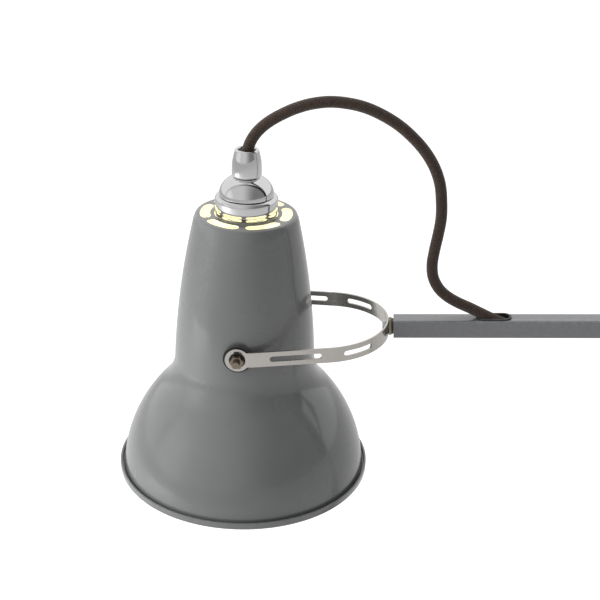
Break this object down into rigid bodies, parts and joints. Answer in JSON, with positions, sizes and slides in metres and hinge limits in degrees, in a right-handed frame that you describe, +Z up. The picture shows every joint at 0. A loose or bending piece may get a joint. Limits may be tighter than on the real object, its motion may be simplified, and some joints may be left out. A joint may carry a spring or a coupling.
{
  "type": "architect desk lamp",
  "caption": "Balanced-arm desk lamp: weighted round base, two square arms held by springs and a rod, and a spun metal shade in a strip fork.",
  "frame": {"origin": "centre of the base's underside", "axes": "+Z up; the shade is toward -X and the elbow toward +X when the arms are at rest; Y is across the arms"},
  "size_m": [0.5489, 0.18, 0.551],
  "materials": {
    "grey_paint": "satin enamel",
    "shade_paint": "satin enamel over spun aluminium, white inside",
    "cast_iron": "rough casting",
    "rubber": "matt black",
    "fibre": "matt",
    "bronze": "turned",
    "fork_steel": "polished strip",
    "chrome": "mirror plated",
    "aluminium": "turned",
    "porcelain": "glazed",
    "glass": "clear envelope",
    "flex": "braided cotton",
    "spring_wire": "bright coiled wire",
    "zinc": "zinc plated",
    "steel": "bright plated"
  },
  "bodies": {
    "base": {"base_cover": "grey_paint", "base_weight": "cast_iron", "base_plate": "zinc", "foot_pad": "rubber", "base_screws": "steel", "swivel_bush": "bronze"},
    "turntable": {"swivel_spindle": "steel", "spindle_clip": "zinc", "turntable_plate": "grey_paint", "cheek_left": "grey_paint", "cheek_right": "grey_paint", "cheek_screws": "steel", "spring_posts": "steel", "shoulder_bolt": "steel", "shoulder_nut": "steel", "shoulder_washers": "steel", "spring_left": "spring_wire", "spring_right": "spring_wire"},
    "lower_arm": {"lower_arm_tube": "grey_paint", "shoulder_knuckle": "zinc", "elbow_knuckle": "zinc", "fibre_washers": "fibre", "lower_rivets": "steel", "cross_pin": "steel", "spring_anchor": "zinc", "spring_centre": "spring_wire"},
    "crank": {"crank_plates": "zinc", "crank_pins": "steel"},
    "link_rod": {"link_rod": "zinc", "link_rod_eyes": "steel"},
    "upper_arm": {"upper_arm_tube": "grey_paint", "elbow_plate_left": "grey_paint", "elbow_plate_right": "grey_paint", "elbow_bolt": "steel", "elbow_nut": "steel", "tail_pin": "steel", "plate_rivets": "steel", "tail_gland": "rubber", "flex_grommet": "rubber", "arm_flex": "flex", "arm_end_plug": "zinc", "entry_flex": "flex"},
    "fork": {"fork_band": "fork_steel", "fork_stud": "fork_steel", "fork_washer": "fork_steel", "fork_spacer": "rubber", "pivot_bushes": "rubber"},
    "shade": {"shade_shell": "shade_paint", "gallery_plate": "grey_paint", "holder_neck": "aluminium", "cap_skirt": "chrome", "cap_dome": "chrome", "cord_grip": "chrome", "lampholder": "porcelain", "screw_shell": "bronze", "bulb_cap": "aluminium", "bulb_glass": "glass", "pivot_bolts": "steel", "pivot_nuts": "fork_steel", "head_flex": "flex"}
  },
  "joints": [
    {"name": "base_swivel", "type": "hinge", "parent": "base", "child": "turntable", "pos_m": [0, 0, 0.035], "axis": [0, 0, 1], "range_deg": [-170, 170]},
    {"name": "shoulder", "type": "hinge", "parent": "turntable", "child": "lower_arm", "pos_m": [0, 0, 0.092], "axis": [0, 1, 0], "range_deg": [-35, 30], "deforming": ["spring_left", "spring_right"]},
    {"name": "elbow", "type": "hinge", "parent": "lower_arm", "child": "upper_arm", "pos_m": [0.12894, 0, 0.39577], "axis": [0, 1, 0], "range_deg": [-25, 75]},
    {"name": "crank_turn", "type": "hinge", "parent": "lower_arm", "child": "crank", "pos_m": [0, 0, 0.092], "axis": [0, 1, 0], "range_deg": [-25, 75], "deforming": ["spring_centre"]},
    {"name": "rod_turn", "type": "hinge", "parent": "upper_arm", "child": "link_rod", "pos_m": [0.15694, 0, 0.39577], "axis": [0, 1, 0], "range_deg": [-75, 25]},
    {"name": "fork_swivel", "type": "hinge", "parent": "upper_arm", "child": "fork", "pos_m": [-0.20416, 0, 0.41177], "axis": [1, 0, 0], "range_deg": [-75, 75], "deforming": ["entry_flex"]},
    {"name": "shade_tilt", "type": "hinge", "parent": "fork", "child": "shade", "pos_m": [-0.28906, 0, 0.41177], "axis": [0, 1, 0], "range_deg": [-35, 40], "deforming": ["head_flex"]}
  ],
  "couplings": [
    {"joint": "crank_turn", "follows": "elbow", "ratio": 1},
    {"joint": "rod_turn", "follows": "elbow", "ratio": -1}
  ]
}
